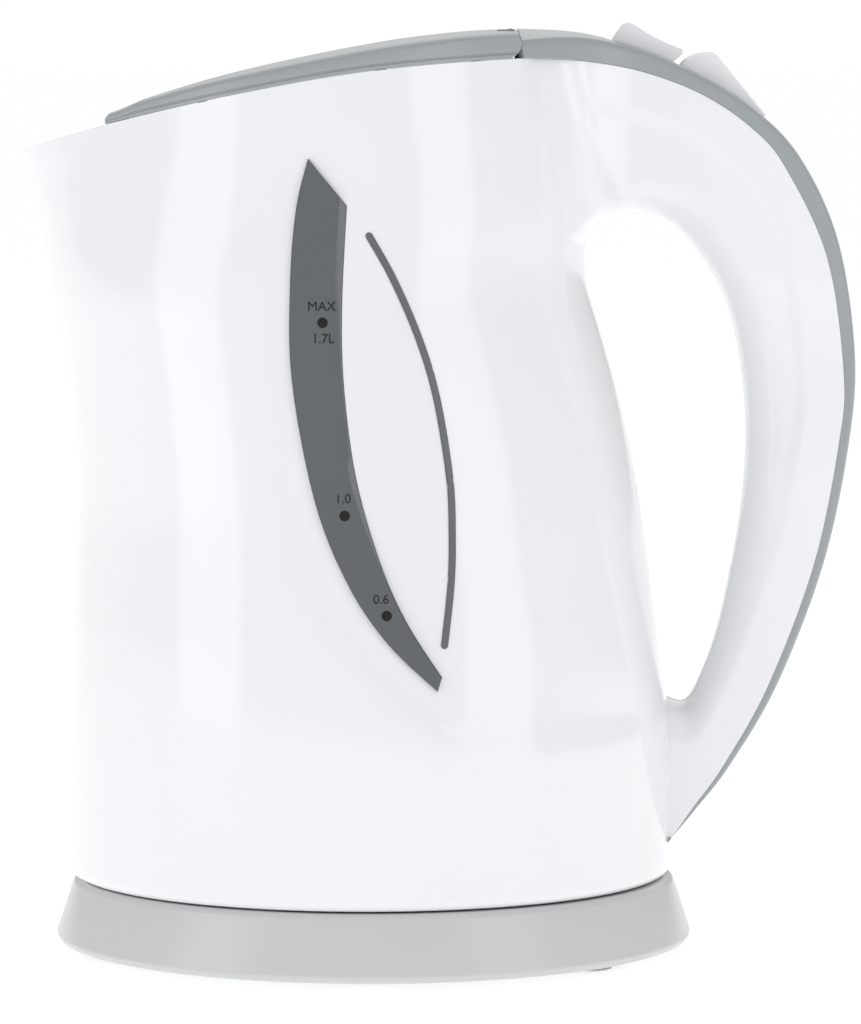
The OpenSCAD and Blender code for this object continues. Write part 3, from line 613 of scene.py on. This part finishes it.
def roundEnd(centre, start, steps=6):
    # Points of the half circle that runs clockwise about the line's end from start
    first = math.atan2(start[1] - centre[1], start[0] - centre[0])
    radius = math.dist(centre, start)
    return [(centre[0] + radius * math.cos(first - math.pi * k / steps),
             centre[1] + radius * math.sin(first - math.pi * k / steps)) for k in range(1, steps)]


def buildBody():
    body = wrapGrid("bodyShell", shell["columns"], shell["rows"], bodyPoint)
    thicken(body, form["wall"])
    for side in (-1, 1):
        low, high = sorted(side * reach for reach in shell["cutReach"])
        cut(body, prism("gaugeCutter", gaugeOutline(gauge["gap"]), low, high))
        cut(body, prism("trimCutter", trimOutline(trim["gap"]), low, high))
    cut(body, block(*shell["latchNotch"]))
    finishPiece(body, "kettle", "white_plastic", ["body_shell"], smooth=50)


buildBody()

# Gauge windows with their marks, and the inlays beside them

marks = {
    "dot": 1.3, "letterHeight": 2.3, "thickness": 0.06,
    "dots": [(-11.9, 164.7), (-6.4, 117.2), (4, 92.6)],
    "words": [("MAX", -12.1, 168.6), ("1.7L", -11.7, 160.7), ("1.0", -6.8, 121.3), ("0.6", 2.6, 96.6)],
}
window = {"columns": 26, "rows": 150, "thickness": 2.6, "bevel": 0.5, "facet": 3, "facetDrop": 0.8,
          "followRelief": 0.4}


def windowFace(x, z):
    return bodySide(x, z) + gauge["proud"] - reliefDepth(x, z) * window["followRelief"]


def buildWindow(side, name, node):
    outer = smoothLine(gauge["outer"], 10)
    inner = smoothLine(list(reversed(gauge["inner"])), 10)

    def place(across, up):
        near, far = alongLine(outer, 1 - up), alongLine(inner, 1 - up)
        x = near[0] + (far[0] - near[0]) * across
        z = near[1] + (far[1] - near[1]) * across
        y = windowFace(x, z)
        fromInner = math.dist((x, z), far)
        facet = window["facet"] * smoothStep(90, 150, z) + 0.01
        y -= window["facetDrop"] * max(0, 1 - fromInner / facet) * smoothStep(95, 130, z)
        return (x, side * y, z)

    piece = wrapGrid(name, window["columns"], window["rows"], place)
    faceOut(piece)
    thicken(piece, window["thickness"])
    roundEdges(piece, window["bevel"], 3, 50)
    finishPiece(piece, "kettle", "gauge_plastic", [node])


def faceOut(piece):
    # An open skin is turned so that its faces look away from the kettle's middle plane
    lean = sum(face.normal.y * face.center.y * face.area for face in piece.data.polygons)
    if lean < 0:
        pick(piece)
        bpy.ops.object.mode_set(mode="EDIT")
        bpy.ops.mesh.select_all(action="SELECT")
        bpy.ops.mesh.flip_normals()
        bpy.ops.object.mode_set(mode="OBJECT")


def layOnWindow(piece, centre, side):
    # Lays a flat mark, drawn in its own x and y, on the window's curved face
    for v in piece.data.vertices:
        x = centre[0] - side * v.co.x / mm
        z = centre[1] + v.co.y / mm
        y = windowFace(x, z) + v.co.z / mm
        v.co = Vector((x, side * y, z)) * mm
    tidyMesh(piece)


def buildMarks(side, name):
    pieces = []
    for text, x, z in marks["words"]:
        deselect()
        bpy.ops.object.text_add(location=(0, 0, 0))
        word = bpy.context.object
        word.data.body = text
        word.data.align_x = "CENTER"
        word.data.align_y = "CENTER"
        word.data.size = marks["letterHeight"] / 0.7 * mm
        word.data.extrude = marks["thickness"] * mm
        word.data.resolution_u = 4
        bpy.ops.object.convert(target="MESH")
        layOnWindow(word, (x, z), side)
        pieces.append(word)
    for x, z in marks["dots"]:
        deselect()
        bpy.ops.mesh.primitive_cylinder_add(vertices=40, radius=marks["dot"] * mm,
                                            depth=2 * marks["thickness"] * mm)
        dot = bpy.context.object
        layOnWindow(dot, (x, z), side)
        pieces.append(dot)
    joinTo(pieces[0], pieces[1:])
    piece = pieces[0]
    piece.name = name
    finishPiece(piece, "kettle", "gauge_plastic", smooth=0)
    piece.data.materials[0] = printInk


def buildTrim(side, name, node):
    outline = trimOutline(0)
    low, high = sorted(side * reach for reach in trim["reach"])
    piece = prism(name, outline, low, high)
    skin = wrapGrid("trimSkin", *trim["grid"], lambda across, up: trimSkin(across, up, side))
    faceOut(skin)
    thicken(skin, trim["thickness"])
    cut(piece, skin, "INTERSECT")
    roundEdges(piece, 0.18, 2, 50)
    finishPiece(piece, "kettle", "inlay_plastic", [node])


def trimSkin(across, up, side):
    (xLow, zLow), (xHigh, zHigh) = trim["area"]
    x = xLow + (xHigh - xLow) * across
    z = zLow + (zHigh - zLow) * up
    return (x, side * (bodySide(x, z) + trim["proud"] - reliefDepth(x, z)), z)


for side, label in ((-1, "left"), (1, "right")):
    buildWindow(side, "gaugeWindow." + label, "gauge_window_" + label)
    buildMarks(side, "gaugeMarks." + label)
    buildTrim(side, "inlay." + label, "accent_trim_" + label)
print("stage: gauges and inlays")


# Handle: white shell with a rim band, and the grey cover over it

handle = {
    "edge": [(36.6, 229.8), (53, 229.1), (69, 226.3), (84.5, 220.4), (97, 211.9), (105.5, 202), (116.3, 179),
             (120.8, 149.3), (119.6, 131), (113.4, 100), (101.8, 68.6), (90.3, 47.7), (82.8, 37.2),
             (76.7, 28.6), (75, 28.2)],
    "inner": [(49, 170), (54.6, 183), (58.6, 187.9), (65.8, 190.3), (74, 188.6), (82, 182.2), (91.5, 166.1),
              (96, 141.5), (95.3, 115.5), (89.5, 84.3), (84.1, 68.6), (80.7, 63.5), (76.2, 64.4),
              (74.4, 65.2)],
    "outer": [(37.2, 237.4), (53, 236.4), (69, 232.3), (84.5, 225.4), (98.5, 216.6), (110, 204.3),
              (119.5, 183.5), (124, 155), (122.6, 131), (116.3, 100), (104.5, 68.6), (92.4, 47.7),
              (84.3, 37.2), (77.2, 29)],
    "match": [(0, 0), (0.1, 0.06), (0.22, 0.17), (0.35, 0.34), (0.5, 0.49), (0.7, 0.71), (0.86, 0.9),
              (1, 1)],
    "plan": [(20, 55), (30, 46), (38, 37.3), (50, 27), (60, 20.5), (70, 17.3), (85, 16), (130, 15)],
    "flank": [(20, 12.5), (64, 13.5), (120, 14.5), (180, 16.5), (196, 30), (215, 60), (250, 60)],
    "start": [(150, 53.1), (170, 49), (229.8, 36.6), (240, 34.5)],
    "wall": 2.5, "columns": 96, "rows": 190, "edgeRound": 0.5,
    "grip": 11, "gripShare": 0.46, "gripSpan": 0.4, "gripSoftness": 0.9,
    "band": 10.5, "bandStep": 1.0, "bandRise": (-1.2, 2.5),
    "blend": 8, "leastBlend": 0.5, "sink": 0.2, "deepestSink": 1.5,
    "neckFrom": 160, "neckSink": 0.45, "neckLeave": 0.03, "noLimit": 99,
}
cover = {
    "columns": 64, "rows": 190, "skin": 2, "crown": 0.0022, "shoulder": 2.2, "start": (38.4, 229.75),
    "joinAfter": 39, "joinBelow": 200,
    "sideSpan": 0.2, "leastRise": 0.12, "edgeRound": 0.25,
    "slot": ((59.6, -8.6, 200), (102.4, 8.6, 250)),
}


def handleHalf(x, z):
    return min(curveAt(handle["plan"], x), curveAt(handle["flank"], z))


def clearOfBody(x, y, z):
    # How far a place lies outside the body's round form
    return math.hypot(x - bodyCentre(z), y) - curveAt(form["half"], z)


def handleSide(x, z, depth):
    # Half width at a depth from the outer edge: a band along the rim, a soft step, and a blend into the body
    half = handleHalf(x, z)
    fade = smoothStep(46, 58, x) * smoothStep(60, 150, z)
    rise = handle["bandRise"]
    half -= handle["bandStep"] * fade * smoothStep(handle["band"] + rise[0], handle["band"] + rise[1], depth)
    roof = neckLimit(x, z)
    away = clearOfBody(x, half, z)
    reach = handle["blend"] * smoothStep(120, 185, z) + handle["leastBlend"]
    if away > reach:
        return min(half, roof)
    if away > -reach:
        clear = (away + reach)**2 / (4 * reach) - handle["sink"]
    else:
        clear = max(0.15 * (away + reach), -handle["deepestSink"]) - handle["sink"]
    return min(roof, max(half, chordAt(curveAt(form["half"], z) + clear, x, z, 0)))


def chordAt(radius, x, z, least):
    # Half width at x of a circle about the body's middle
    return math.sqrt(max(radius**2 - (x - bodyCentre(z))**2, least))


def neckLimit(x, z):
    # The front edge starts under the body's skin and leaves it gently
    if z <= handle["neckFrom"]:
        return handle["noLimit"]
    along = max(0, x - curveAt(handle["start"], z))
    return chordAt(curveAt(form["half"], z) - handle["neckSink"] + handle["neckLeave"] * along**2, x, z, 1)


def buildHandle():
    edge = smoothLine(handle["edge"], 12)
    inner = smoothLine(handle["inner"], 12)

    def place(across, along):
        top = alongLine(edge, along)
        low = alongLine(inner, curveAt(handle["match"], along))
        length = math.dist(top, low)
        grip = min(handle["grip"], handle["gripShare"] * length)
        half = abs(2 * across - 1)
        if half > handle["gripSpan"]:
            depth = (length - grip) * (1 - half) / (1 - handle["gripSpan"])
            share = 1
        else:
            lean = math.pi / 2 * half / handle["gripSpan"]
            depth = length - grip + grip * math.cos(lean)
            share = math.sin(lean) ** handle["gripSoftness"]
        t = depth / length
        x = top[0] + (low[0] - top[0]) * t
        z = top[1] + (low[1] - top[1]) * t
        y = handleSide(x, z, depth) * share
        return (x, math.copysign(y, across - 0.5) if half > 1e-6 else 0, z)

    piece = wrapGrid("handleShell", handle["columns"], handle["rows"], place)
    faceOut(piece)
    thicken(piece, handle["wall"])
    roundEdges(piece, handle["edgeRound"], 2, 60)
    finishPiece(piece, "kettle", "white_plastic", ["handle_shell"], smooth=45)


def buildCover():
    edge = smoothLine(handle["edge"], 12)
    outer = smoothLine(handle["outer"], 12)
    start = cover["start"]
    after, below = cover["joinAfter"], cover["joinBelow"]
    edge = [start] + [point for point in edge if point[0] > after or point[1] < below]

    def place(across, along):
        low = alongLine(edge, along)
        top = alongLine(outer, along)
        height = math.dist(low, top)
        up = ((top[0] - low[0]) / height, (top[1] - low[1]) / height)
        wide = handleHalf(*low)
        fall = min(cover["crown"] * wide * wide, height * 0.45)
        shoulder = min(cover["shoulder"], (height - fall) * 0.6)
        spot = abs(2 * across - 1)
        span = cover["sideSpan"]
        if spot > 1 - span:
            rise = (height - fall - shoulder) * (1 - spot) / span
            y = wide
        elif spot > 1 - 2 * span:
            lean = math.pi / 2 * (1 - span - spot) / span
            rise = height - fall - shoulder + shoulder * math.sin(lean)
            y = wide - shoulder + shoulder * math.cos(lean)
        else:
            y = (wide - shoulder) * spot / (1 - 2 * span)
            rise = height - fall * (y / (wide - shoulder)) ** 2
        rise = max(rise, cover["leastRise"])
        return (low[0] + up[0] * rise, math.copysign(y, across - 0.5), low[1] + up[1] * rise)

    piece = wrapGrid("handleCover", cover["columns"], cover["rows"], place)
    faceOut(piece)
    thicken(piece, cover["skin"])
    cut(piece, block(*cover["slot"]))
    roundEdges(piece, cover["edgeRound"], 2, 50)
    finishPiece(piece, "kettle", "grey_plastic", ["handle_cover"], smooth=35)


buildHandle()
buildCover()
print("stage: handle")


# Lid

lid = {
    "crown": [(-92, 213.5), (-70, 215.4), (-64, 216.9), (-58, 219.6), (-34, 226.6), (0, 233.7), (20, 236.4),
              (37, 237.3), (60, 236.4)],
    "columns": 240, "centre": -12, "skin": 2, "lip": 1.0, "groove": 0.35, "shoulder": 1.1, "front": -67.4,
    "hinge": (35, 235), "barrel": 2.3, "gap": 0.15, "sideShare": 0.62, "shoulderFrom": 0.93,
    "earCut": ((31.7, 13.7, 229), (39.7, 30.3, 241)), "tailCut": ((30, -6.4, 225), (39, 6.4, 234.4)),
}


def lidRim(angle, inset):
    z = rimHeight(angle, inset)
    radius = bodyRadius(z, angle) - inset
    return aroundBody(radius, angle, z)


def lidPoint(angle, share, inset, drop, floor):
    rim = lidRim(angle, inset)
    x = lid["centre"] + (rim[0] - lid["centre"]) * share
    y = rim[1] * share
    base = curveAt(form["rim"], x)
    full = curveAt(lid["crown"], x) - base
    aside = share * abs(math.sin(math.radians(angle)))**0.4
    dome = lid["sideShare"] + (1 - lid["sideShare"]) * math.sqrt(max(0, 1 - aside**3))
    past = max(0, (share - lid["shoulderFrom"]) / (1 - lid["shoulderFrom"]))
    shoulder = lid["shoulder"] * (1 - math.sqrt(max(0, 1 - past**2)))
    return (x, y, base + max(full * dome - drop - shoulder, floor))


def lidForm(name, inset, drop, lift, groove):
    # Rows from the middle of the underside out to the rim, up the side and over the crown to its middle
    low = [("under", share) for share in (0, 0.4, 0.8)]
    wall = [("wall", k / 6) for k in range(7)]
    bend = 1 - lid["shoulderFrom"]
    top = [("top", 1 - bend * (1 - math.cos(k * math.pi / 16))) for k in range(9)]
    crown = [("top", lid["shoulderFrom"] * (1 - k / 24)) for k in range(1, 25)]
    levels = low + wall + top + crown

    def place(around, up):
        angle = 360 * around
        kind, value = levels[round(up * (len(levels) - 1))]
        rim = lidRim(angle, inset)
        if kind == "under":
            x = lid["centre"] + (rim[0] - lid["centre"]) * value
            return (x, rim[1] * value, curveAt(form["rim"], x) + lift)
        if kind == "top":
            return lidPoint(angle, value, inset, drop, lift + 0.15)
        roof = lidPoint(angle, 1, inset, drop, lift + 0.15)[2]
        base = rim[2] + lift
        cutIn = 0
        height = base + (roof - base) * value
        if groove:
            lip = lid["lip"]
            steps = {0: (0, 0), 1: (lip - 0.15, 0), 2: (lip, 0.12), 3: (lip + 0.1, groove),
                     4: (lip + 0.4, groove), 5: (lip + 0.55, 0.1)}
            step = steps.get(round(value * 6))
            if step:
                squeeze = min(1, (roof - base) / 2.2)
                height = base + step[0] * squeeze
                cutIn = step[1] * squeeze
        inner = lidRim(angle, inset + cutIn)
        return (inner[0], inner[1], height)

    return wrapGrid(name, lid["columns"], len(levels) - 1, place)


def lidSide(inset):
    x, z = lid["hinge"]
    front = lid["front"] + inset
    radius = lid["barrel"] - inset
    points = [(front, 200), (front, 214.6 - inset), (front + 1.2, 216.2 - inset), (front + 3.6, 220),
              (front + 3.6, 245), (x - 4, 245), (x, z + radius)]
    points += [(x + radius * math.cos(math.radians(a)), z + radius * math.sin(math.radians(a)))
               for a in range(75, -15, -15)]
    low = 4.95 - inset
    points += [(x + 0.63 * low * math.cos(math.radians(a)), z + low * math.sin(math.radians(a)))
               for a in range(-20, -90, -15)]
    return points + [(x, 220), (20, 200)]


def buildLid():
    piece = lidForm("lidCover", 0, 0, lid["gap"], lid["groove"])
    cut(piece, prism("lidCutter", lidSide(0), -90, 90), "INTERSECT")
    hollow = lidForm("lidHollow", lid["skin"], lid["skin"], -0.5, 0)
    cut(hollow, prism("lidCutter", lidSide(lid["skin"]), -90, 90), "INTERSECT")
    cut(piece, hollow)
    near, far = lid["earCut"]
    for side in (-1, 1):
        low, high = sorted((side * near[1], side * far[1]))
        cut(piece, block((near[0], low, near[2]), (far[0], high, far[2])))
    cut(piece, block(*lid["tailCut"]))
    finishPiece(piece, "lid", "grey_plastic", ["lid_cover"], smooth=32)


buildLid()
print("stage: lid")


# Lid button and switch rocker

keysOnHandle = {"half": 8, "channel": 5.5, "trunnion": 1.5, "trunnionHalf": 10.9, "edge": 0.55,
                "buttonAxis": (75, 0, 224.2), "rockerAxis": (88, 0, 215.5)}


def buildButton():
    crown = smoothLine([(65.6, 239), (67.6, 238), (71.4, 235.6), (76.5, 233.2), (79.6, 232)], 4)
    outline = [(61.6, 231.6), (61.6, 234.4), (63.1, 236.8), (64.6, 238.6)] + crown
    outline += [(79.4, 230.8), (76.7, 228.6), (77, 223.2), (73, 223.2), (73, 228.2), (68, 230), (64.3, 231)]
    piece = prism("lidButton", outline, -keysOnHandle["half"], keysOnHandle["half"])
    hollow = [(63.9, 229), (64.3, 233.5), (71, 233.5), (73, 229.6), (73.2, 227)]
    cut(piece, prism("buttonHollow", hollow, -keysOnHandle["channel"], keysOnHandle["channel"]))
    roundEdges(piece, keysOnHandle["edge"], 4, 25)
    addTrunnion(piece, keysOnHandle["buttonAxis"])
    finishPiece(piece, "lid_release", "button_plastic", ["lid_button"])


def addTrunnion(piece, axisPlace):
    pins = []
    for side in (-1, 1):
        length = keysOnHandle["trunnionHalf"] - keysOnHandle["half"] + 1
        middle = side * (keysOnHandle["trunnionHalf"] - length / 2)
        pin = rod(keysOnHandle["trunnion"], length, (axisPlace[0], middle, axisPlace[2]), (0, 1, 0))
        roundEdges(pin, 0.25, 2, 50)
        pins.append(pin)
    joinTo(piece, pins)


def buildRocker():
    arc = smoothLine([(77.9, 226.4), (80.2, 229.3), (83.5, 231), (87, 231.4)], 5)
    outline = arc + [(88.4, 230.5), (100.9, 215.3), (100.2, 214.3), (96, 214.6), (91.5, 213),
                     (84.5, 213), (81, 219)]
    piece = prism("switchRocker", outline, -keysOnHandle["half"], keysOnHandle["half"])
    roundEdges(piece, keysOnHandle["edge"], 4, 25)
    leg = block((85.8, -3, 203), (88.2, 3, 214))
    roundEdges(leg, 0.3, 2, 40)
    joinTo(piece, [leg])
    addTrunnion(piece, keysOnHandle["rockerAxis"])
    finishPiece(piece, "rocker", "button_plastic", ["power_switch"])


buildButton()
buildRocker()
print("stage: buttons")


# Power base

base = {
    "skirt": [(79.9, 1.6), (81.6, 2.1), (82.5, 3.6), (77.9, 17.4), (76.7, 18.6), (61.5, 18.6), (60, 17),
              (26.3, 17),
              (26.3, 15), (61, 15), (62.5, 16.4), (75.6, 16.4), (80.1, 3.6)],
    "steps": 192, "bossRadius": 3.5, "bossAt": 52, "bossTurn": 20, "glandHeight": 8.5, "glandBore": 5.05,
    "footRadius": 6, "footAt": 70, "footTurn": -38.5,
}


def onCircle(radius, start, count=3):
    return [(radius * math.cos(math.radians(start + 360 * k / count)),
             radius * math.sin(math.radians(start + 360 * k / count))) for k in range(count)]


def buildBase():
    piece = lathe("baseCover", base["skirt"], base["steps"])
    roundEdges(piece, 0.45, 3, 25)
    bosses = []
    for x, y in onCircle(base["bossAt"], base["bossTurn"]):
        boss = rod(base["bossRadius"], 9, (x, y, 10.7), (0, 0, 1))
        cut(boss, rod(1.2, 9, (x, y, 8.9), (0, 0, 1), 24))
        bosses.append(boss)
    cut(piece, rod(base["glandBore"], 20, (0, 80, base["glandHeight"]), (0, 1, 0), 64))
    joinTo(piece, bosses)
    finishPiece(piece, "power_base", "pale_grey_plastic", ["base_cover"], smooth=30)


def buildFeet():
    feet = []
    for x, y in onCircle(base["footAt"], base["footTurn"]):
        foot = rod(base["footRadius"], 1.5, (x, y, 0.75), (0, 0, 1))
        roundEdges(foot, 0.35, 3, 50)
        peg = rod(2, 1.9, (x, y, 2.15), (0, 0, 1), 32)
        feet += [foot, peg]
    joinTo(feet[0], feet[1:])
    feet[0].name = "baseFeet"
    finishPiece(feet[0], "power_base", "foot_rubber", ["base_feet"])


buildBase()
buildFeet()
print("stage: power base")
